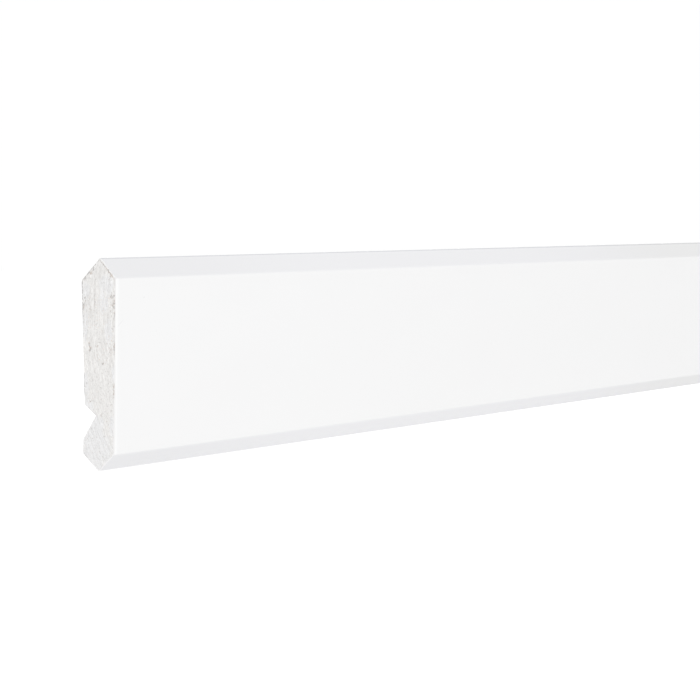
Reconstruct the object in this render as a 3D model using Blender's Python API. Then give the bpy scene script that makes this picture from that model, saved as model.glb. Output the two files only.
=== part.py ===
"""Crown moulding: one length of flat wooden moulding, painted white on its face and both face bevels.

The length runs along X. The face looks along -Y and the back along +Y. Two ridges, at the top and
the bottom, part the face bevels from the seats, which are the two bevels that lie against the ceiling
and the wall. The seats are square to each other. The back has one V groove along its lower part.
The origin is the middle of the wall seat.
"""

import bpy
import bmesh
from math import ceil, cos, radians, tan
from mathutils import Vector

# Driving dimensions, in metres and radians, all to the sharp corners before they are rounded.
# The height runs from ridge to ridge, and the thickness and the setbacks are taken from the face.
LENGTH = 0.480
HEIGHT = 0.05825
THICKNESS = 0.01095
UPPER_RIDGE_SETBACK = 0.00505
LOWER_RIDGE_SETBACK = 0.00485

# Slope of each bevel, up from the level
UPPER_FACE_BEVEL = radians(47.8)
LOWER_FACE_BEVEL = radians(44.6)
CEILING_SEAT = radians(47.0)
CEILING_TO_WALL = radians(90.0)
WALL_SEAT = CEILING_TO_WALL - CEILING_SEAT

# The back leans in towards the face on its way down, and the lip below the groove stands upright
BACK_TAPER = radians(2.3)
LIP_THICKNESS = 0.00993

# The V groove in the back, by the place of its root and the slope of its two flanks
GROOVE_ROOT_HEIGHT = 0.01523
GROOVE_ROOT_SETBACK = 0.00600
GROOVE_UPPER_FLANK = radians(39.2)
GROOVE_LOWER_FLANK = radians(59.3)

# Rounding of the long edges
UPPER_FACE_ARRIS = 0.00080
LOWER_FACE_ARRIS = 0.00110
RIDGE_RADIUS = 0.00030
BACK_EDGE_RADIUS = 0.00025
GROOVE_LIP_RADIUS = 0.00060
GROOVE_ROOT_RADIUS = 0.00030

# Each rounding turns in steps of about this angle, and an edge that turns less is shaded smooth
ARC_STEP = radians(9.0)
SHARP_EDGE = radians(20.0)

# Colour and roughness of the paint and of the bare wood
PAINT_COLOUR = (0.90, 0.90, 0.91, 1.0)
PAINT_ROUGHNESS = 0.42
WOOD_COLOUR = (0.72, 0.66, 0.57, 1.0)
WOOD_ROUGHNESS = 0.75
PAINT_SLOT = 0
WOOD_SLOT = 1


def clear_scene():
    """Remove whatever the file opened with."""
    for thing in list(bpy.data.objects):
        bpy.data.objects.remove(thing, do_unlink=True)


def plain_material(name, colour, roughness):
    """One Principled material."""
    material = bpy.data.materials.new(name)
    material.use_nodes = True
    shader = material.node_tree.nodes["Principled BSDF"]
    shader.inputs["Base Color"].default_value = colour
    shader.inputs["Roughness"].default_value = roughness
    shader.inputs["Metallic"].default_value = 0.0
    material.diffuse_color = colour
    return material


def meet(start, start_slope, wall, wall_slope):
    """Point where a line from start meets a line through wall; a slope is (dy, dz)."""
    across = start_slope[0] * wall_slope[1] - start_slope[1] * wall_slope[0]
    gap = wall - start
    along = (gap[0] * wall_slope[1] - gap[1] * wall_slope[0]) / across
    return start + Vector(start_slope) * along


def section_corners():
    """Sharp corners of the section, each a name with its place (y, z) and its rounding.

    The order runs from the upper ridge down the face, under the lower ridge and up the back.
    """
    upper_ridge = Vector((UPPER_RIDGE_SETBACK, HEIGHT))
    face_top = Vector((0.0, HEIGHT - UPPER_RIDGE_SETBACK * tan(UPPER_FACE_BEVEL)))
    face_bottom = Vector((0.0, LOWER_RIDGE_SETBACK * tan(LOWER_FACE_BEVEL)))
    lower_ridge = Vector((LOWER_RIDGE_SETBACK, 0.0))
    lip_bottom = Vector((LIP_THICKNESS, (LIP_THICKNESS - LOWER_RIDGE_SETBACK) * tan(WALL_SEAT)))
    back_top = Vector((THICKNESS, HEIGHT - (THICKNESS - UPPER_RIDGE_SETBACK) * tan(CEILING_SEAT)))
    groove_root = Vector((GROOVE_ROOT_SETBACK, GROOVE_ROOT_HEIGHT))
    groove_bottom = meet(groove_root, (1.0, -tan(GROOVE_LOWER_FLANK)), lip_bottom, (0.0, 1.0))
    groove_top = meet(groove_root, (1.0, tan(GROOVE_UPPER_FLANK)), back_top, (tan(BACK_TAPER), 1.0))
    return {
        "upper_ridge": (upper_ridge, RIDGE_RADIUS),
        "face_top": (face_top, UPPER_FACE_ARRIS),
        "face_bottom": (face_bottom, LOWER_FACE_ARRIS),
        "lower_ridge": (lower_ridge, RIDGE_RADIUS),
        "lip_bottom": (lip_bottom, BACK_EDGE_RADIUS),
        "groove_bottom": (groove_bottom, GROOVE_LIP_RADIUS),
        "groove_root": (groove_root, GROOVE_ROOT_RADIUS),
        "groove_top": (groove_top, GROOVE_LIP_RADIUS),
        "back_top": (back_top, BACK_EDGE_RADIUS),
    }


def rounded_corner(before, corner, after, radius):
    """Points of the arc that rounds one corner between its two neighbours, within half a side."""
    to_before = (before - corner).normalized()
    to_after = (after - corner).normalized()
    half_angle = to_before.angle(to_after) / 2.0
    half_side = min((before - corner).length, (after - corner).length) / 2.0
    cut_back = min(radius / tan(half_angle), half_side)
    arc_radius = cut_back * tan(half_angle)
    centre = corner + (to_before + to_after).normalized() * (cut_back / cos(half_angle))
    first = (corner + to_before * cut_back - centre).normalized()
    last = (corner + to_after * cut_back - centre).normalized()
    steps = max(2, ceil(first.angle(last) / ARC_STEP))
    return [centre + first.slerp(last, step / steps) * arc_radius for step in range(steps + 1)]


def section_outline():
    """The whole rounded outline of the section."""
    corners = list(section_corners().values())
    outline = []
    for index, (corner, radius) in enumerate(corners):
        before = corners[index - 1][0]
        after = corners[(index + 1) % len(corners)][0]
        outline.extend(rounded_corner(before, corner, after, radius))
    return outline


def wall_seat_centre():
    """Middle of the wall seat in the section, halfway from the lower ridge to the lip."""
    corners = section_corners()
    return (corners["lower_ridge"][0] + corners["lip_bottom"][0]) / 2.0


def build_moulding(paint, wood):
    """The one solid: the section carried along X, cut square at both ends."""
    form = bmesh.new()
    ring = [form.verts.new((-LENGTH / 2.0, point[0], point[1])) for point in section_outline()]
    near_end = form.faces.new(ring)
    carried = bmesh.ops.extrude_face_region(form, geom=[near_end], use_keep_orig=True)
    moved = [item for item in carried["geom"] if isinstance(item, bmesh.types.BMVert)]
    bmesh.ops.translate(form, verts=moved, vec=(LENGTH, 0.0, 0.0))
    bmesh.ops.recalc_face_normals(form, faces=form.faces)
    for face in form.faces:
        looks_into_room = face.normal.y < 0.0 and abs(face.normal.x) < abs(face.normal.y)
        face.material_index = PAINT_SLOT if looks_into_room else WOOD_SLOT
    mesh = bpy.data.meshes.new("moulding")
    form.to_mesh(mesh)
    form.free()
    for material in (paint, wood):
        mesh.materials.append(material)
    mesh.shade_smooth()
    mesh.set_sharp_from_angle(angle=SHARP_EDGE)
    moulding = bpy.data.objects.new("moulding", mesh)
    seat = wall_seat_centre()
    moulding.location = (0.0, -seat[0], -seat[1])
    bpy.context.scene.collection.objects.link(moulding)
    return moulding


def main():
    clear_scene()
    paint = plain_material("white_paint", PAINT_COLOUR, PAINT_ROUGHNESS)
    wood = plain_material("bare_wood", WOOD_COLOUR, WOOD_ROUGHNESS)
    build_moulding(paint, wood)


main()
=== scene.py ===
"""The looks of the crown moulding.

White paint covers the face and both face bevels. The back and the cut ends are bare pale wood.
"""

from bisect import bisect_right
from math import cos, hypot, inf, pi, radians, sin

import bpy
from mathutils import Matrix, Vector, noise


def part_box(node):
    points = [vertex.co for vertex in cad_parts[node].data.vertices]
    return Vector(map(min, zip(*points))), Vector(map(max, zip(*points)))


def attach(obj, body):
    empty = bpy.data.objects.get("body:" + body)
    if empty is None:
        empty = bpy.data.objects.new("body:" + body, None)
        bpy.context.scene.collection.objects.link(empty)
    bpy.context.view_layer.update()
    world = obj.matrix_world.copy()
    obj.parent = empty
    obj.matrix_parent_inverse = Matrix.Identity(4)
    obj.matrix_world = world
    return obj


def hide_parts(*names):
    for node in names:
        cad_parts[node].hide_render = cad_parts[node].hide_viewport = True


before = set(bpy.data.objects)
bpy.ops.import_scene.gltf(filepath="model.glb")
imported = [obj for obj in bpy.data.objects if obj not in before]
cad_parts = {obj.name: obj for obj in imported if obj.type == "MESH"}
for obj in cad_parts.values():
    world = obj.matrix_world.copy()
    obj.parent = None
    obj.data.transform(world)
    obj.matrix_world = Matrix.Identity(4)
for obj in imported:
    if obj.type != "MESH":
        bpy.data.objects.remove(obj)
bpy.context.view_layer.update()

MM = 0.001

# The photograph's frame
IMAGE_SIDE = 700.0
SENSOR_WIDTH = 36.0

# The camera, from the vanishing point of the long edges and the near end's size in the photograph
FOCAL_PIXELS = 3000.0
CAMERA_PLACE = Vector((-0.93458, -0.43088, 0.07525))
CAMERA_HEADING = radians(26.891)
CAMERA_PITCH = radians(-3.059)
CAMERA_ROLL = radians(0.834)
CAMERA_NEAREST = 0.05
CAMERA_FARTHEST = 50.0

# Reading of the section from the CAD moulding
SAME_PLACE = 0.001 * MM
CORNER_DIGITS = 7

# Fineness of the mesh
ROW_GAP = 0.28 * MM
CLOSEST_ROWS = 0.012 * MM
END_COLUMNS = 60
LENGTH_STEPS = 60
EASING_STEPS = 5
END_ZONE = 3.0 * MM
FILM_COLUMNS = (0.08 * MM, 0.18 * MM, 0.30 * MM)

# Easing of the cut ends: length along X and depth. The paint rolls over softly at the face's cut edge.
FACE_END_LENGTH = 1.35 * MM
FACE_END_DEPTH = 0.16 * MM
BEVEL_END_LENGTH = 0.12 * MM
BEVEL_END_DEPTH = 0.04 * MM
BACK_END_EASING = 0.03 * MM
BACK_END_CHIP = 0.03 * MM
SEAT_END_CHIP = 0.12 * MM

# Powers that shape the easing and crowd its stations, and the first gap behind it
EASING_CURVE = 1.2
EASING_SPREAD = 1.5
AFTER_EASING = 0.06 * MM

# Unevenness of the long surfaces, and the numbers that make the two ends' patterns differ
FACE_UNEVENNESS = 0.015 * MM
BACK_UNEVENNESS = 0.035 * MM
NEAR_SEED = 1.7
FAR_SEED = 31.3

# Relief of the cut ends, in millimetres
END_DEPTH = 0.016
RING_RELIEF = 0.016
SAW_RELIEF = 0.008
FIBRE_RELIEF = 0.010
TORN_PORE_DEPTH = 0.040
STAIN_DEPTH = 0.10

# Heights in millimetres: the face is flat between the first two, and the ceiling seat is above the third
FACE_BOTTOM = 2.4
FACE_TOP = 50.3
SEAT_BOTTOM = 48.3

# Growth rings: tubes about a pith that lies in front of the face and high up, in millimetres
PITH_Y = -76.0
PITH_Z = 42.0
RING_GAP = 1.45

# Length of the ripples that the planer left along the back, in millimetres
PLANER_PITCH = 1.6

# Stained places on the near end: middle in y and z, half width and half height in millimetres, and depth
NEAR_END_MARKS = (
    (0.75, 51.7, 0.9, 0.7, 0.78),
    (-0.2, 52.8, 0.8, 0.7, 0.65),
    (2.6, 50.0, 0.6, 0.6, 0.70),
    (-4.9, 52.2, 0.6, 0.9, 0.55),
    (-5.8, 51.2, 0.7, 0.9, 0.75),
    (-5.3, 50.2, 0.8, 0.7, 0.45),
    (2.9, 42.5, 0.5, 1.3, 0.85),
    (3.0, 38.6, 0.3, 0.5, 0.70),
    (-6.3, 45.4, 0.9, 0.7, 0.75),
    (-6.7, 43.2, 0.8, 1.5, 0.75),
    (-6.9, 40.8, 0.5, 1.6, 0.65),
    (1.7, 44.2, 1.6, 2.2, 0.45),
    (-6.1, 42.2, 1.2, 2.6, 0.40),
    (0.7, 42.2, 0.5, 1.8, 0.60),
    (-0.6, 43.6, 0.35, 2.6, 0.50),
    (0.95, 32.2, 0.32, 1.0, 0.95),
    (0.65, 30.9, 0.46, 0.8, 0.95),
    (-1.6, 32.3, 0.4, 1.9, 0.50),
    (-5.9, 31.0, 0.8, 1.6, 0.48),
    (-7.1, 31.4, 0.4, 2.2, 0.85),
    (-3.4, 27.1, 0.36, 0.36, 1.00),
    (-7.15, 21.1, 0.42, 1.0, 1.00),
    (-7.15, 19.2, 0.38, 1.4, 0.95),
    (0.2, 16.8, 0.6, 0.5, 0.62),
    (-3.0, 12.9, 0.5, 0.8, 0.55),
    (-4.9, 11.4, 0.4, 0.4, 0.55),
    (0.0, 9.4, 0.35, 0.7, 0.50),
    (2.4, 2.3, 0.5, 0.4, 0.75),
    (1.5, 4.4, 0.3, 0.6, 0.50),
    (-4.4, 1.4, 0.4, 0.5, 0.45),
)

# Cooler, greyer places on the near end: middle in y and z, half width and half height in millimetres
NEAR_END_COOL = (
    (2.4, 46.8, 1.4, 2.6),
    (-4.4, 48.6, 2.3, 2.4),
    (-3.3, 43.6, 1.6, 3.0),
    (2.3, 37.2, 1.1, 4.2),
    (-5.0, 36.0, 1.4, 3.0),
    (2.0, 20.5, 0.9, 4.6),
    (1.0, 14.8, 1.6, 2.4),
    (-6.8, 24.5, 0.5, 2.5),
    (0.8, 6.5, 3.4, 8.5),
    (0.5, 0.0, 4.5, 5.0),
    (-3.2, 4.0, 3.2, 4.2),
    (-2.2, 10.0, 1.8, 2.6),
    (-6.6, 10.5, 0.8, 3.0),
)

# Thin dark lines of the near end's rings: y, lowest and highest z in millimetres, and depth
NEAR_END_LINES = (
    (-0.62, 38.0, 53.0, 0.22),
    (0.95, 38.0, 44.0, 0.20),
    (-3.1, 28.0, 36.0, 0.15),
)

# Small marks in the paint near that end: middle in x and z, half length, half width, turn and depth
FACE_MARKS = (
    (-225.1, 44.9, 0.45, 0.28, 0.0, 0.12),
    (-218.3, 35.3, 0.30, 0.22, 0.0, 0.09),
    (-237.4, 38.2, 2.40, 0.18, radians(31.0), 0.10),
)

# How far out a stain and a cool place fade from nothing to full, as shares of their half sizes
STAIN_FADE = (1.6, 0.3)
COOL_FADE = (1.5, 0.5)

# Material slots of the mesh, and the turn above which an edge is shaded sharp
PAINT_SLOT = 0
PLANED_SLOT = 1
CUT_SLOT = 2
SHARP_EDGE = radians(35.0)

# Roughness, and the height of the fine bump
PAINT_ROUGHNESS = 0.42
PLANED_ROUGHNESS = 0.62
CUT_ROUGHNESS = 0.72
PAINT_BUMP = 0.010 * MM
WOOD_BUMP = 0.050 * MM

# Colours of the paint on the face, on the bevels with painted light, along the ridges with painted shade
# and painted light, and at the cut with a painted highlight
FACE_PAINT_DIM = (0.817, 0.817, 0.818, 1.0)
FACE_PAINT_LIT = (0.829, 0.829, 0.830, 1.0)
# Painted light on the bevels: a cool cast of the light from above and below, lighter along the middle
# where the front light falls, dimmer towards the far end
BEVEL_COOL_SHADE_AT_ENDS = (0.806, 0.806, 0.820, 1.0)
BEVEL_COOL_LIGHT_MIDDLE = (0.834, 0.834, 0.850, 1.0)
BEVEL_SHADE_FAR = (0.805, 0.805, 0.806, 1.0)
# Painted shade along the upper ridge, near and far
RIDGE_SHADE_NEAR = (0.62, 0.63, 0.66, 1.0)
RIDGE_SHADE_FAR = (0.62, 0.622, 0.628, 1.0)
# Painted light along the lower ridge, lifting it out of its shade
LOWER_RIDGE_LIGHT = (0.880, 0.880, 0.888, 1.0)
# Painted highlight on the face's eased edge at the cut
CUT_EDGE_HIGHLIGHT = (0.841, 0.841, 0.841, 1.0)
CUT_EDGE_PAINT = (0.772, 0.771, 0.768, 1.0)
MARK_COLOUR = (0.30, 0.30, 0.32, 1.0)

# Colours of the planed back
PLANED_DIM = (0.765, 0.738, 0.695, 1.0)
PLANED_LIT = (0.812, 0.792, 0.758, 1.0)
PLANED_RIBBON = (0.690, 0.645, 0.580, 1.0)
PLANED_LATE = (0.640, 0.560, 0.470, 1.0)
PLANED_FIBRE = (0.650, 0.600, 0.530, 1.0)
PLANED_PORE = (0.460, 0.385, 0.315, 1.0)
PAINT_MIST = (0.80, 0.80, 0.80, 1.0)

# Colours of the cut ends
CUT_DIM_WARM = (0.578, 0.567, 0.555, 1.0)
CUT_DIM_COOL = (0.579, 0.577, 0.579, 1.0)
CUT_LIT_WARM = (0.844, 0.836, 0.824, 1.0)
CUT_LIT_COOL = (0.834, 0.832, 0.836, 1.0)
CUT_LATE = (0.52, 0.50, 0.47, 1.0)
CUT_SPECK = (0.62, 0.50, 0.42, 1.0)
CUT_PORE = (0.46, 0.445, 0.43, 1.0)
CUT_LINE = (0.40, 0.38, 0.36, 1.0)
CUT_FILM = (0.778, 0.776, 0.771, 1.0)
# Grey of the stains, also used for painted shadow of splinters along the back edge
STAIN_AND_SHADOW_GREY = (0.39, 0.380, 0.378, 1.0)
STAIN_BROWN = (0.49, 0.415, 0.360, 1.0)

# Floor, background and light
WHITE = (1.0, 1.0, 1.0, 1.0)
FLOOR_DROP = 0.16
FLOOR_SIDE = 12.0
FLOOR_COLOUR = (0.30, 0.30, 0.30, 1.0)
FLOOR_ROUGHNESS = 0.9
FLOOR_GLOW = 0.77
ROOM_LIGHT = 0.773
BACKDROP_LIGHT = 1.005

# Soft square panels of light, all aimed at one place: name, place, side in metres and power in watts
PANEL_AIM = Vector((0.0, 0.0, 0.03))
PANELS = (
    ("front_panel", (-0.4, -4.0, 0.03), 1.6, 54.0),
    ("side_panel", (-3.4, -0.45, 0.10), 1.2, 42.0),
    ("back_panel", (0.4, 4.0, 0.03), 1.6, 26.0),
    ("far_panel", (3.4, 1.2, 0.10), 1.2, 26.0),
)


def box_of_node():
    """Lowest and highest corner of the CAD moulding, in metres."""
    low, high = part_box("moulding")
    return Vector(low), Vector(high)


def end_outline():
    """(front chain, back chain): the section's points as (z, y), from the lower ridge to the upper."""
    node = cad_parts["moulding"]
    low, _ = box_of_node()
    points = set()
    for vertex in node.data.vertices:
        if abs(vertex.co.x - low.x) < SAME_PLACE:
            points.add((round(vertex.co.z, CORNER_DIGITS), round(vertex.co.y, CORNER_DIGITS)))
    bottom = min(points)
    top = max(points)

    def in_front(point):
        share = (point[0] - bottom[0]) / (top[0] - bottom[0])
        return point[1] < bottom[1] + (top[1] - bottom[1]) * share

    inner = sorted(points - {bottom, top})
    front = [bottom] + [p for p in inner if in_front(p)] + [top]
    back = [bottom] + [p for p in inner if not in_front(p)] + [top]
    return front, back


def along_chain(chain, z):
    """y of a chain at height z."""
    index = min(max(bisect_right(chain, (z, inf)), 1), len(chain) - 1)
    z0, y0 = chain[index - 1]
    z1, y1 = chain[index]
    if z1 == z0:
        return y1
    return y0 + (y1 - y0) * (z - z0) / (z1 - z0)


def row_heights(front, back):
    """Heights of the mesh's rows: each corner of the section, and even steps between."""
    corners = sorted({z for z, _ in front} | {z for z, _ in back})
    rows = [corners[0]]
    for z in corners[1:]:
        gap = z - rows[-1]
        if gap < CLOSEST_ROWS and z != corners[-1]:
            continue
        steps = max(1, round(gap / ROW_GAP + 0.49))
        start = rows[-1]
        rows.extend(start + gap * step / steps for step in range(1, steps + 1))
    return rows


def outline_normal(ring, index):
    """Outward normal in (y, z) of the closed ring at one of its points."""
    before = ring[index - 1]
    after = ring[(index + 1) % len(ring)]
    along = (after[0] - before[0], after[1] - before[1])
    length = hypot(*along) or 1.0
    return (along[1] / length, -along[0] / length)


def smooth(low, high, value):
    """0 below low, 1 above high, and a smooth rise between; low may be the larger."""
    share = min(1.0, max(0.0, (value - low) / (high - low)))
    return share * share * (3.0 - 2.0 * share)


def gap_to_chain(y, z, chain):
    """Distance from a point of the section to a chain, in millimetres."""
    nearest = inf
    for (z0, y0), (z1, y1) in zip(chain, chain[1:]):
        run_y, run_z = y1 - y0, z1 - z0
        share = ((y - y0) * run_y + (z - z0) * run_z) / (run_y * run_y + run_z * run_z)
        share = min(1.0, max(0.0, share))
        nearest = min(nearest, hypot(y - y0 - run_y * share, z - z0 - run_z * share))
    return nearest / MM


def wobble(a, b, c=0.0):
    """Smooth unseeded noise between -1 and 1 that depends on the place alone."""
    return noise.noise(Vector((a, b, c)))


def stain_share(y, z):
    """How dark the marks on the near end make a place of the section in metres, from 0 to 1."""
    share = 0.0
    for mark_y, mark_z, half_width, half_height, depth in NEAR_END_MARKS:
        away = hypot((y / MM - mark_y) / half_width, (z / MM - mark_z) / half_height)
        share = max(share, depth * smooth(*STAIN_FADE, away))
    return share


def cool_share(y, z):
    """How grey the near end's wood is at a place of the section in metres, from 0 to 1."""
    share = 0.0
    for mark_y, mark_z, half_width, half_height in NEAR_END_COOL:
        away = hypot((y / MM - mark_y) / half_width, (z / MM - mark_z) / half_height)
        share = max(share, smooth(*COOL_FADE, away))
    return share


def cut_depth(y, z, rim, seed):
    """How far the cut end lies behind its flat, in metres: rings, saw marks and torn pores."""
    y, z = y / MM, z / MM
    ring = (hypot(y - PITH_Y, z - PITH_Z) + 0.35 * wobble(y * 0.10, z * 0.05, seed)) / RING_GAP
    late = smooth(0.45, 0.85, ring % 1.0)
    saw = 0.5 + 0.5 * sin(2.0 * pi * (z * 0.55 + y * 0.12) + 2.0 * wobble(y * 0.2, z * 0.2, seed))
    fibre = wobble(y * 1.7, z * 0.5, seed + 9.0)
    torn = smooth(0.30, 0.75, wobble(y * 2.9, z * 0.8, seed + 5.0))
    depth = END_DEPTH + RING_RELIEF * (1.0 - late) + SAW_RELIEF * saw + FIBRE_RELIEF * fibre
    depth += TORN_PORE_DEPTH * torn
    return max(0.0, depth) * MM * smooth(0.05, 0.30, rim)


class MeshSheet:
    """Vertices, faces and per-vertex values while the mesh is put together.

    rim and back_rim are the distances to the section's front and back chain, in millimetres.
    """

    def __init__(self):
        self.places = []
        self.faces = []
        self.slots = []
        self.rim = []
        self.back_rim = []
        self.stain = []
        self.cool = []

    def vertex(self, place, rim, back_rim, stain, cool):
        self.places.append(place)
        self.rim.append(rim)
        self.back_rim.append(back_rim)
        self.stain.append(stain)
        self.cool.append(cool)
        return len(self.places) - 1

    def face(self, corners, slot):
        kept = [v for i, v in enumerate(corners) if v not in corners[:i]]
        if len(kept) > 2:
            self.faces.append(tuple(kept))
            self.slots.append(slot)

    def mesh(self, name):
        made = bpy.data.meshes.new(name)
        made.from_pydata(self.places, [], self.faces)
        made.polygons.foreach_set("material_index", self.slots)
        for label in ("rim", "back_rim", "stain", "cool"):
            layer = made.attributes.new(label, "FLOAT", "POINT")
            layer.data.foreach_set("value", getattr(self, label))
        made.update()
        return made


def build_moulding_mesh():
    """One closed mesh: the section's ring carried along X, eased at both cut ends, with gridded ends."""
    front, back = end_outline()
    low, high = box_of_node()
    heights = row_heights(front, back)
    last = len(heights) - 1
    # The ring runs up the back and down the face, so that its outward normal is on its right hand
    ring = [(along_chain(back, z), z) for z in heights]
    ring += [(along_chain(front, z), z) for z in reversed(heights[1:-1])]
    ring_size = len(ring)
    normals = [outline_normal(ring, index) for index in range(ring_size)]
    sheet = MeshSheet()

    def on_face_side(index):
        return index > last

    def easing(index, seed):
        """(length along X, depth) that eases the cut end's edge at one point of the ring."""
        y, z = ring[index]
        if on_face_side(index):
            flat = smooth(0.90, 0.99, -normals[index][0])
            length = BEVEL_END_LENGTH + (FACE_END_LENGTH - BEVEL_END_LENGTH) * flat
            depth = BEVEL_END_DEPTH + (FACE_END_DEPTH - BEVEL_END_DEPTH) * flat
            uneven = 1.0 + 0.15 * wobble(z / MM * 0.25, 3.0, seed)
            return length * uneven, depth * uneven
        on_seat = z > SEAT_BOTTOM * MM and normals[index][1] > 0.4
        chip = SEAT_END_CHIP if on_seat else BACK_END_CHIP
        radius = BACK_END_EASING + chip * smooth(0.20, 0.65, wobble(y / MM * 1.1, z / MM * 1.1, seed))
        return radius, radius

    def dent(index, x):
        """How far the long surface lies inside the section, in metres."""
        y, z = ring[index]
        bend = 0.5 + 0.5 * wobble(x / MM * 0.012, y / MM * 0.08, z / MM * 0.08)
        if on_face_side(index):
            return FACE_UNEVENNESS * bend
        knife = 0.5 + 0.5 * wobble(x / MM * 0.05, y / MM * 0.7, z / MM * 0.7)
        return BACK_UNEVENNESS * (0.5 * bend + 0.5 * knife)

    rims = [gap_to_chain(y, z, front) for y, z in ring]
    back_rims = [gap_to_chain(y, z, back) for y, z in ring]

    def marks(y, z, is_near):
        """(stain, cool) at one place of a cut end."""
        if is_near:
            return stain_share(y, z), cool_share(y, z)
        patch = wobble(y / MM * 0.30, z / MM * 0.15, FAR_SEED)
        cluster = wobble(y / MM * 0.45, z / MM * 0.30, FAR_SEED + 4.0)
        return 0.55 * smooth(0.25, 0.60, cluster), smooth(-0.10, 0.25, patch)

    ring_marks = {is_near: [marks(y, z, is_near) for y, z in ring] for is_near in (True, False)}

    def station(x_of, inset_of):
        """One ring of vertices at the x and inset that two functions give; returns its first index."""
        start = len(sheet.places)
        for index, (y, z) in enumerate(ring):
            x = x_of(index)
            inset = inset_of(index) + dent(index, x)
            ny, nz = normals[index]
            place = (x, y - ny * inset, z - nz * inset)
            sheet.vertex(place, rims[index], back_rims[index], *ring_marks[x < 0.0][index])
        return start

    def eased_stations(end_x, inward, seed, steps):
        """Stations over the easing of one end and two close behind it; inward is +1 or -1 along X."""
        eased = [easing(index, seed) for index in range(ring_size)]
        made = []
        for step in steps:
            way = min(1.0, step / EASING_STEPS) ** EASING_SPREAD
            behind = AFTER_EASING * max(0, step - EASING_STEPS) ** 2
            made.append(station(
                lambda i: end_x + inward * (eased[i][0] * way + behind),
                lambda i: eased[i][1] * (1.0 - way) ** EASING_CURVE))
        return made

    steps = range(EASING_STEPS + 3)
    stations = eased_stations(low.x, 1.0, NEAR_SEED, steps)
    for step in range(LENGTH_STEPS + 1):
        x = low.x + END_ZONE + (high.x - low.x - 2.0 * END_ZONE) * step / LENGTH_STEPS
        stations.append(station(lambda i: x, lambda i: 0.0))
    stations += eased_stations(high.x, -1.0, FAR_SEED, reversed(steps))
    spans = len(stations) - 1
    for span, (one, other) in enumerate(zip(stations, stations[1:])):
        at_cut = span < EASING_STEPS or span >= spans - EASING_STEPS
        for index in range(ring_size):
            after = (index + 1) % ring_size
            slot = PAINT_SLOT if index >= last else CUT_SLOT if at_cut else PLANED_SLOT
            sheet.face((one + index, one + after, other + after, other + index), slot)

    def cap(start, end_x, inward, seed, is_near):
        """Grid of one cut end, from the painted side's ring vertices to the back's."""

        def row_vertices(row):
            first = start if row == 0 else start + (last if row == last else ring_size - row)
            final = start + row
            if first == final:
                return [first]
            a = Vector(sheet.places[first])
            b = Vector(sheet.places[final])
            width = (b - a).length
            film = [min(gap / width, n / END_COLUMNS) for n, gap in enumerate(FILM_COLUMNS, 1)]
            even = END_COLUMNS - len(film)
            shares = film + [film[-1] + (1.0 - film[-1]) * n / even for n in range(1, even)]
            inner = []
            for share in shares:
                x, y, z = a.lerp(b, share)
                rim = gap_to_chain(y, z, front)
                back_rim = gap_to_chain(y, z, back)
                stain, cool = marks(y, z, is_near)
                depth = cut_depth(y, z, min(rim, back_rim), seed)
                depth += STAIN_DEPTH * MM * stain * smooth(0.1, 0.4, rim)
                inner.append(sheet.vertex((end_x + inward * depth, y, z), rim, back_rim, stain, cool))
            return [first] + inner + [final]

        rows = [row_vertices(row) for row in range(last + 1)]
        for lower, upper in zip(rows, rows[1:]):
            for column in range(END_COLUMNS):
                corners = (
                    lower[min(column, len(lower) - 1)],
                    lower[min(column + 1, len(lower) - 1)],
                    upper[min(column + 1, len(upper) - 1)],
                    upper[min(column, len(upper) - 1)])
                sheet.face(corners if inward < 0 else tuple(reversed(corners)), CUT_SLOT)

    cap(stations[0], low.x, 1.0, NEAR_SEED, True)
    cap(stations[-1], high.x, -1.0, FAR_SEED, False)
    return sheet.mesh("moulding")


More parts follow.
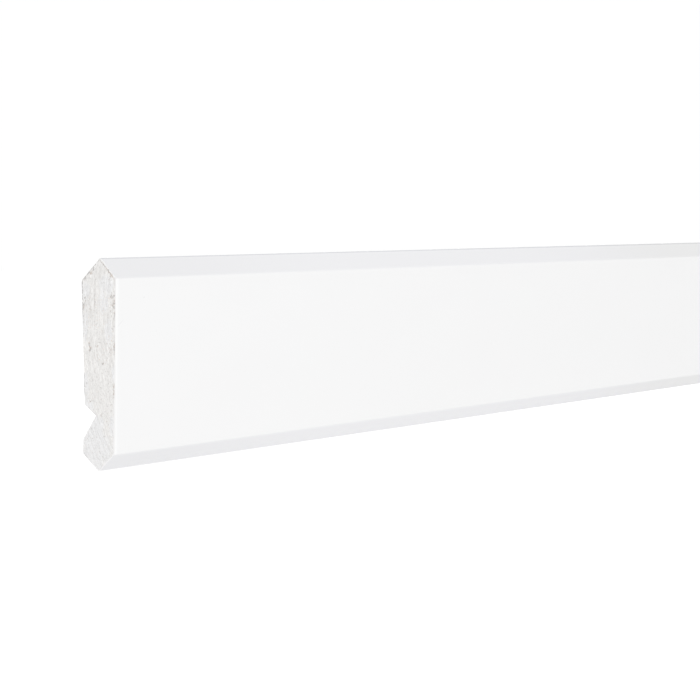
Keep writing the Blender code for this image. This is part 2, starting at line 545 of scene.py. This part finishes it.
class Web:
    """Short calls that make and join the nodes of one material."""

    def __init__(self, name, roughness):
        self.material = bpy.data.materials.new(name)
        self.material.use_nodes = True
        self.nodes = self.material.node_tree.nodes
        self.links = self.material.node_tree.links
        self.shader = self.nodes["Principled BSDF"]
        self.shader.inputs["Roughness"].default_value = roughness

    def feed(self, socket, value):
        if isinstance(value, bpy.types.NodeSocket):
            self.links.new(value, socket)
        else:
            socket.default_value = value

    def math(self, operation, *values, clamp=False):
        node = self.nodes.new("ShaderNodeMath")
        node.operation = operation
        node.use_clamp = clamp
        for socket, value in zip(node.inputs, values):
            self.feed(socket, value)
        return node.outputs[0]

    def product(self, first, *others):
        for other in others:
            first = self.math("MULTIPLY", first, other)
        return first

    def centred(self, value):
        """Noise between 0 and 1, moved to lie between -0.5 and 0.5."""
        return self.math("SUBTRACT", value, 0.5)

    def length(self, vector):
        node = self.nodes.new("ShaderNodeVectorMath")
        node.operation = "LENGTH"
        self.feed(node.inputs[0], vector)
        return node.outputs["Value"]

    def place(self):
        """The place on the object, in millimetres."""
        coordinates = self.nodes.new("ShaderNodeTexCoord")
        node = self.nodes.new("ShaderNodeVectorMath")
        node.operation = "MULTIPLY"
        self.feed(node.inputs[0], coordinates.outputs["Object"])
        self.feed(node.inputs[1], (1.0 / MM, 1.0 / MM, 1.0 / MM))
        return node.outputs["Vector"]

    def split(self, vector):
        node = self.nodes.new("ShaderNodeSeparateXYZ")
        self.feed(node.inputs[0], vector)
        return node.outputs

    def join(self, x, y, z):
        node = self.nodes.new("ShaderNodeCombineXYZ")
        for socket, value in zip(node.inputs, (x, y, z)):
            self.feed(socket, value)
        return node.outputs[0]

    def drawn_out(self, spot, share):
        """The place with its x shortened to a share, which draws noise out along the grain."""
        x, y, z = spot
        return self.join(self.math("MULTIPLY", x, share), y, z)

    def value_of(self, name):
        node = self.nodes.new("ShaderNodeAttribute")
        node.attribute_name = name
        return node.outputs["Fac"]

    def noise(self, place, scale, detail, roughness=0.5):
        node = self.nodes.new("ShaderNodeTexNoise")
        self.feed(node.inputs["Vector"], place)
        node.inputs["Scale"].default_value = scale
        node.inputs["Detail"].default_value = detail
        node.inputs["Roughness"].default_value = roughness
        return node.outputs["Fac"]

    def step(self, value, low, high, to_low=0.0, to_high=1.0):
        """A smooth change from one value to another while the input goes from low to high."""
        node = self.nodes.new("ShaderNodeMapRange")
        node.interpolation_type = "SMOOTHSTEP"
        self.feed(node.inputs["Value"], value)
        node.inputs["From Min"].default_value = low
        node.inputs["From Max"].default_value = high
        node.inputs["To Min"].default_value = to_low
        node.inputs["To Max"].default_value = to_high
        return node.outputs["Result"]

    def mix(self, share, one, other):
        node = self.nodes.new("ShaderNodeMix")
        node.data_type = "RGBA"
        self.feed(node.inputs["Factor"], share)
        self.feed(node.inputs["A"], one)
        self.feed(node.inputs["B"], other)
        return node.outputs["Result"]

    def bump(self, height, distance):
        node = self.nodes.new("ShaderNodeBump")
        node.inputs["Strength"].default_value = 1.0
        node.inputs["Distance"].default_value = distance
        self.feed(node.inputs["Height"], height)
        return node.outputs["Normal"]

    def finish(self, colour, normal):
        self.feed(self.shader.inputs["Base Color"], colour)
        self.feed(self.shader.inputs["Normal"], normal)
        return self.material


def ridge_gap(web, z):
    """Height above the lower ridge or below the upper one, whichever is less, in millimetres."""
    low, high = box_of_node()
    return web.math("MINIMUM", web.math("SUBTRACT", z, low.z / MM), web.math("SUBTRACT", high.z / MM, z))


def ring_nodes(web, spot):
    """(distance from the pith, way round it in millimetres, share of latewood) as sockets."""
    y, z = spot[1], spot[2]
    drift = web.noise(web.drawn_out(spot, 0.12), 0.05, 1.0)
    waver = web.noise(web.drawn_out(spot, 0.06), 0.45, 2.0)
    from_y = web.math("SUBTRACT", y, PITH_Y)
    from_z = web.math("SUBTRACT", z, PITH_Z)
    away = web.length(web.join(0.0, from_y, from_z))
    away = web.math("MULTIPLY_ADD", web.centred(drift), 3.0, away)
    away = web.math("MULTIPLY_ADD", web.centred(waver), 0.9, away)
    around = web.product(web.math("ARCTAN2", from_z, from_y), abs(PITH_Y))
    part = web.math("FRACT", web.math("DIVIDE", away, RING_GAP))
    late = web.product(web.step(part, 0.45, 0.90), web.step(part, 0.92, 1.0, 1.0, 0.0))
    return away, around, late


def bevel_share(web, z):
    """1 on the face bevels and 0 on the face."""
    upper = web.step(z, FACE_TOP - 0.3, FACE_TOP + 0.3)
    lower = web.step(z, FACE_BOTTOM + 0.3, FACE_BOTTOM - 0.3)
    return web.math("MAXIMUM", upper, lower)


def bevel_painted_light(web, x):
    """Painted light on the bevels: cooler than the face as a painted cast of the light from above and
    below, lighter along the middle where the front light falls, and neutral and dimmer towards the far
    end.
    """
    middle = web.product(web.step(x, -235.0, -110.0), web.step(x, 235.0, 30.0))
    colour = web.mix(middle, BEVEL_COOL_SHADE_AT_ENDS, BEVEL_COOL_LIGHT_MIDDLE)
    return web.mix(web.step(x, 90.0, 190.0), colour, BEVEL_SHADE_FAR)


def add_ridge_shade_and_light(web, spot, colour):
    """Painted shade in a dark strip along the upper ridge, and painted light along the lower ridge that
    lifts it out of its shade.
    """
    x, _, z = spot
    gap = ridge_gap(web, z)
    uneven = web.noise(web.drawn_out(spot, 0.1), 1.2, 2.0)
    reach = web.product(gap, web.step(x, -200.0, 200.0, 1.0, 0.62))
    reach = web.math("MULTIPLY_ADD", uneven, 0.06, reach)
    # The upper ridge's dark strip is painted shade
    dark_strip = web.product(web.step(reach, 0.38, 0.16), web.step(z, 20.0, 30.0, 0.0, 0.80))
    ridge_shade_colour = web.mix(web.step(x, 60.0, 200.0), RIDGE_SHADE_NEAR, RIDGE_SHADE_FAR)
    colour = web.mix(dark_strip, colour, ridge_shade_colour)
    # Painted light on the lower ridge
    lower_ridge_light = web.product(web.step(gap, 0.42, 0.14), web.step(z, 30.0, 20.0, 0.0, 0.8))
    return web.mix(lower_ridge_light, colour, LOWER_RIDGE_LIGHT)


def add_cut_edge(web, x, z, on_face, colour):
    """At the face's cut edge a paler band is painted highlight on the eased edge, and a darker strip
    lies on the very edge, wider lower down.
    """
    half_length = box_of_node()[1].x / MM
    from_end = web.math("SUBTRACT", half_length, web.math("ABSOLUTE", x))
    # Painted highlight along the eased edge
    edge_highlight = web.product(web.step(from_end, 1.50, 1.10), on_face)
    colour = web.mix(edge_highlight, colour, CUT_EDGE_HIGHLIGHT)
    past_strip = web.math("SUBTRACT", from_end, web.step(z, 14.0, 48.0, 0.58, 0.30))
    dark_strip = web.product(web.step(past_strip, 0.18, -0.18), on_face)
    return web.mix(dark_strip, colour, CUT_EDGE_PAINT)


def face_mark(web, x, z, mark):
    """How far one small mark darkens the paint, from 0 to its depth."""
    mark_x, mark_z, half_length, half_width, turn, depth = mark
    off_x = web.math("SUBTRACT", x, mark_x)
    off_z = web.math("SUBTRACT", z, mark_z)
    along = web.product(off_x, cos(turn) / half_length)
    along = web.math("MULTIPLY_ADD", off_z, sin(turn) / half_length, along)
    across = web.product(off_x, -sin(turn) / half_width)
    across = web.math("MULTIPLY_ADD", off_z, cos(turn) / half_width, across)
    return web.step(web.length(web.join(along, across, 0.0)), 1.0, 0.4, 0.0, depth)


def white_paint():
    """Sprayed satin white, slightly marked, with painted light: a cooler cast and lighter middle on the
    bevels, painted shade along the upper ridge, painted light along the lower ridge, and a painted
    highlight and darker strip at the cut edge.
    """
    web = Web("white_paint", PAINT_ROUGHNESS)
    place = web.place()
    spot = web.split(place)
    x, _, z = spot
    cloud = web.noise(web.drawn_out(spot, 0.4), 0.06, 2.0)
    bevel = bevel_share(web, z)
    colour = web.mix(cloud, FACE_PAINT_DIM, FACE_PAINT_LIT)
    # Painted light on the bevels: cool cast, lighter middle, dimmer far end
    colour = web.mix(bevel, colour, bevel_painted_light(web, x))
    colour = add_ridge_shade_and_light(web, spot, colour)
    colour = add_cut_edge(web, x, z, web.math("SUBTRACT", 1.0, bevel), colour)
    for mark in FACE_MARKS:
        colour = web.mix(face_mark(web, x, z, mark), colour, MARK_COLOUR)
    peel = web.noise(place, 1.1, 2.0)
    grain = web.noise(web.drawn_out(spot, 0.03), 2.2, 2.0)
    height = web.math("MULTIPLY_ADD", grain, 0.5, peel)
    return web.finish(colour, web.bump(height, PAINT_BUMP))


def planed_wood():
    """Pale wood along the grain: soft ribbons, faint rings, fine fibres and short brown pores.

    A mist of paint reaches over both ridges.
    """
    web = Web("planed_wood", PLANED_ROUGHNESS)
    spot = web.split(web.place())
    x, _, z = spot
    _, _, late = ring_nodes(web, spot)
    cloud = web.noise(web.drawn_out(spot, 0.2), 0.08, 2.0)
    ribbon = web.noise(web.drawn_out(spot, 0.02), 0.42, 2.0)
    fibre = web.noise(web.drawn_out(spot, 0.035), 3.2, 3.0, 0.65)
    pore = web.step(web.noise(web.drawn_out(spot, 0.06), 4.4, 1.0), 0.62, 0.70)
    colour = web.mix(cloud, PLANED_DIM, PLANED_LIT)
    colour = web.mix(web.step(ribbon, 0.35, 0.65, 0.0, 0.40), colour, PLANED_RIBBON)
    colour = web.mix(web.product(late, 0.30), colour, PLANED_LATE)
    colour = web.mix(web.step(fibre, 0.30, 0.72, 0.0, 0.40), colour, PLANED_FIBRE)
    colour = web.mix(web.product(pore, 0.55), colour, PLANED_PORE)
    ragged = web.noise(web.drawn_out(spot, 0.3), 0.9, 3.0)
    reach = web.math("MULTIPLY_ADD", ragged, -2.2, ridge_gap(web, z))
    colour = web.mix(web.step(reach, -0.6, 0.2, 1.0, 0.0), colour, PAINT_MIST)
    ripple = web.math("SINE", web.product(x, 2.0 * pi / PLANER_PITCH))
    height = web.math("MULTIPLY_ADD", ripple, 0.12, fibre)
    height = web.math("MULTIPLY_ADD", pore, -1.0, height)
    return web.finish(colour, web.bump(height, WOOD_BUMP))


class CutGrain:
    """Noise on the cut ends; each layer number gives a pattern of its own."""

    def __init__(self, web, spot):
        self.web = web
        self.y, self.z = spot[1], spot[2]
        self.away, self.around, self.late = ring_nodes(web, spot)

    def along_rings(self, layer, share, scale, detail, roughness=0.5):
        """Drawn out along the rings, more so with a smaller share."""
        place = self.web.join(self.away, self.web.math("MULTIPLY", self.around, share), layer)
        return self.web.noise(place, scale, detail, roughness)

    def upright(self, layer, share, scale, detail, roughness=0.5):
        """Drawn out upwards, more so with a smaller share."""
        place = self.web.join(layer, self.y, self.web.math("MULTIPLY", self.z, share))
        return self.web.noise(place, scale, detail, roughness)


def cut_tone(web, grain):
    """Light and dark of the cut end, from 0 to 1: columns and streaks along the rings, and grit."""
    z = grain.z
    column = grain.along_rings(0.0, 0.05, 3.2, 2.0, 0.6)
    streak = grain.along_rings(3.0, 0.20, 4.8, 2.0, 0.6)
    grit = grain.upright(5.0, 0.5, 4.8, 1.0, 0.6)
    column_share = web.math("MULTIPLY_ADD", web.step(z, 16.0, 38.0), 0.85, 0.65)
    tone = web.product(web.centred(column), column_share)
    tone = web.math("MULTIPLY_ADD", web.centred(streak), 1.35, tone)
    tone = web.math("MULTIPLY_ADD", web.centred(grit), web.step(z, 16.0, 38.0, 0.9, 0.5), tone)
    return web.math("ADD", tone, 0.5, clamp=True)


def cut_base(web, grain, tone):
    """Warm and cool wood, by the tone, with a trace of the rings."""
    cloud = web.product(web.centred(grain.upright(3.0, 0.3, 1.1, 3.0)), 1.8)
    cool = web.step(web.math("ADD", web.value_of("cool"), cloud), 0.15, 0.95)
    dim = web.mix(cool, CUT_DIM_WARM, CUT_DIM_COOL)
    lit = web.mix(cool, CUT_LIT_WARM, CUT_LIT_COOL)
    return web.mix(web.product(grain.late, 0.10), web.mix(tone, dim, lit), CUT_LATE)


def add_specks_and_pores(web, grain, colour):
    """Brown specks in the middle heights, and grey pores all over."""
    z = grain.z
    speck = web.step(grain.along_rings(11.0, 0.50, 2.9, 1.0), 0.64, 0.70, 0.0, 0.7)
    patch = web.step(grain.upright(13.0, 1.0, 0.14, 1.0), 0.38, 0.60)
    where = web.product(patch, web.step(z, 12.0, 30.0, 0.25, 1.0), web.step(z, 48.0, 43.0, 0.1, 1.0))
    colour = web.mix(web.product(speck, where), colour, CUT_SPECK)
    pore = grain.along_rings(23.0, 0.45, 2.9, 1.0)
    return web.mix(web.step(pore, 0.63, 0.71, 0.0, 0.55), colour, CUT_PORE)


def add_ring_lines(web, x, grain, colour):
    """The near end's thin dark ring lines, broken in places but whole near the top."""
    y, z = grain.y, grain.z
    whole = web.step(grain.upright(29.0, 0.5, 1.3, 1.0), 0.30, 0.55)
    whole = web.math("MAXIMUM", whole, web.step(z, 44.0, 47.0))
    at_near_end = web.step(x, -238.0, -239.0)
    for line_y, line_low, line_high, depth in NEAR_END_LINES:
        gap = web.math("ABSOLUTE", web.math("SUBTRACT", y, line_y))
        rise = web.step(z, line_low, line_low + 6.0)
        span = web.product(rise, web.step(z, line_high, line_high - 0.6), at_near_end)
        line = web.product(web.step(gap, 0.26, 0.06, 0.0, depth), web.product(span, whole))
        colour = web.mix(line, colour, CUT_LINE)
    return colour


def add_film(web, grain, rim, colour):
    """Paint that ran over the cut edge in an uneven band."""
    z = grain.z
    low_part = web.step(z, 34.0, 20.0, -0.05, 0.14)
    bevel_part = web.step(z, FACE_TOP - 0.5, FACE_TOP + 0.5, 0.0, 0.12)
    reach = web.math("MAXIMUM", low_part, bevel_part)
    reach = web.math("MULTIPLY_ADD", grain.upright(19.0, 1.0, 0.8, 2.0), 0.30, reach)
    film = web.step(web.math("SUBTRACT", rim, reach), 0.12, -0.04)
    return web.mix(web.product(film, 0.85), colour, CUT_FILM)


def marks_and_shadow_share(web, z, rim, back_rim):
    """Where the cut end may be dark: stains, the back's edge, dark from bruised fibres and from painted
    shadow of splinters, and a seam behind the paint.
    """
    # The back edge's dark line: bruised fibres and painted shadow of splinters
    upper = web.product(web.step(z, 37.0, 38.5, 0.0, 0.8), web.step(z, 49.8, 49.2))
    upper = web.math("MAXIMUM", upper, web.step(z, 49.2, 49.8, 0.20, 0.72))
    upper = web.product(web.step(back_rim, 0.62, 0.10), upper)
    lower = web.product(web.step(z, 17.5, 19.0, 0.0, 0.95), web.step(z, 26.0, 23.0))
    lower = web.product(web.step(back_rim, 0.30, 0.05), lower)
    edge = web.math("MAXIMUM", upper, lower)
    seam = web.product(web.step(rim, 0.28, 0.42), web.step(rim, 0.95, 0.60))
    seam = web.product(seam, web.step(z, FACE_TOP - 0.5, FACE_TOP + 0.5, 0.12, 0.80))
    return web.math("MAXIMUM", web.value_of("stain"), web.math("MAXIMUM", edge, seam))


def cut_wood():
    """The sawn end: pale grain in streaks along the rings, cool patches, brown flecks and stains, and
    painted shadow of splinters along parts of the back edge.
    """
    web = Web("cut_wood", CUT_ROUGHNESS)
    spot = web.split(web.place())
    grain = CutGrain(web, spot)
    rim = web.value_of("rim")
    back_rim = web.value_of("back_rim")
    tone = cut_tone(web, grain)
    colour = cut_base(web, grain, tone)
    colour = add_specks_and_pores(web, grain, colour)
    colour = add_ring_lines(web, spot[0], grain, colour)
    colour = add_film(web, grain, rim, colour)
    marks_and_shadow = marks_and_shadow_share(web, grain.z, rim, back_rim)
    torn = grain.along_rings(31.0, 0.45, 2.9, 2.0, 0.6)
    dark = web.math("MULTIPLY_ADD", web.centred(torn), 2.1, marks_and_shadow)
    dark = web.product(web.step(dark, 0.42, 0.95), web.step(marks_and_shadow, 0.0, 0.2))
    brown = web.step(grain.upright(17.0, 1.0, 1.6, 1.0), 0.42, 0.62)
    brown = web.product(brown, web.step(back_rim, 0.15, 0.55))
    colour = web.mix(web.product(dark, 0.9), colour, web.mix(brown, STAIN_AND_SHADOW_GREY, STAIN_BROWN))
    height = web.math("MULTIPLY_ADD", dark, -0.7, web.math("MULTIPLY_ADD", grain.late, 0.3, tone))
    return web.finish(colour, web.bump(height, WOOD_BUMP))


def make_moulding():
    """The one piece, which stands for the CAD moulding."""
    mesh = build_moulding_mesh()
    for material in (white_paint(), planed_wood(), cut_wood()):
        mesh.materials.append(material)
    mesh.shade_smooth()
    mesh.set_sharp_from_angle(angle=SHARP_EDGE)
    piece = bpy.data.objects.new("white_moulding", mesh)
    bpy.context.scene.collection.objects.link(piece)
    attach(piece, "root")
    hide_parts("moulding")


def make_floor():
    """A plain white floor, bright enough to show as white, that throws no light up at the moulding."""
    half = FLOOR_SIDE / 2
    z = box_of_node()[0].z - FLOOR_DROP
    corners = [(-half, -half, z), (half, -half, z), (half, half, z), (-half, half, z)]
    mesh = bpy.data.meshes.new("floor")
    mesh.from_pydata(corners, [], [(0, 1, 2, 3)])
    material = bpy.data.materials.new("pale_floor")
    material.use_nodes = True
    shader = material.node_tree.nodes["Principled BSDF"]
    shader.inputs["Base Color"].default_value = FLOOR_COLOUR
    shader.inputs["Roughness"].default_value = FLOOR_ROUGHNESS
    shader.inputs["Emission Color"].default_value = WHITE
    shader.inputs["Emission Strength"].default_value = FLOOR_GLOW
    mesh.materials.append(material)
    floor = bpy.data.objects.new("floor", mesh)
    floor.visible_diffuse = False
    floor.visible_glossy = False
    floor.visible_shadow = False
    bpy.context.scene.collection.objects.link(floor)


def add_panel(name, place, side, energy):
    """A square soft light at a place, aimed at the moulding."""
    lamp = bpy.data.lights.new(name, "AREA")
    lamp.shape = "SQUARE"
    lamp.size = side
    lamp.energy = energy
    panel = bpy.data.objects.new(name, lamp)
    panel.location = place
    aim = PANEL_AIM - panel.location
    panel.rotation_euler = aim.to_track_quat("-Z", "Y").to_euler()
    bpy.context.scene.collection.objects.link(panel)


def make_light():
    """White all round, dimmer as light than as backdrop, and a soft panel on each of the four sides."""
    world = bpy.data.worlds.new("studio")
    world.use_nodes = True
    nodes = world.node_tree.nodes
    links = world.node_tree.links
    around = nodes["Background"]
    around.inputs["Strength"].default_value = ROOM_LIGHT
    around.inputs["Color"].default_value = WHITE
    seen = nodes.new("ShaderNodeBackground")
    seen.inputs["Color"].default_value = WHITE
    seen.inputs["Strength"].default_value = BACKDROP_LIGHT
    ray = nodes.new("ShaderNodeLightPath")
    pick = nodes.new("ShaderNodeMixShader")
    links.new(ray.outputs["Is Camera Ray"], pick.inputs[0])
    links.new(around.outputs[0], pick.inputs[1])
    links.new(seen.outputs[0], pick.inputs[2])
    links.new(pick.outputs[0], nodes["World Output"].inputs["Surface"])
    bpy.context.scene.world = world
    for panel in PANELS:
        add_panel(*panel)


def make_camera():
    """A camera without shift, turned by heading, pitch and roll."""
    forward = cos(CAMERA_PITCH)
    ahead = Vector((cos(CAMERA_HEADING) * forward, sin(CAMERA_HEADING) * forward, sin(CAMERA_PITCH)))
    level = Vector((sin(CAMERA_HEADING), -cos(CAMERA_HEADING), 0.0))
    above = level.cross(ahead)
    right = level * cos(CAMERA_ROLL) + above * sin(CAMERA_ROLL)
    up = right.cross(ahead)
    lens = bpy.data.cameras.new("camera")
    lens.sensor_width = SENSOR_WIDTH
    lens.lens = FOCAL_PIXELS * SENSOR_WIDTH / IMAGE_SIDE
    lens.clip_start = CAMERA_NEAREST
    lens.clip_end = CAMERA_FARTHEST
    camera = bpy.data.objects.new("camera", lens)
    turn = Matrix((right, up, -ahead)).transposed()
    camera.matrix_world = Matrix.Translation(CAMERA_PLACE) @ turn.to_4x4()
    bpy.context.scene.collection.objects.link(camera)
    bpy.context.scene.camera = camera


make_camera()
make_moulding()
make_floor()
make_light()
bpy.context.scene.view_settings.view_transform = "Standard"
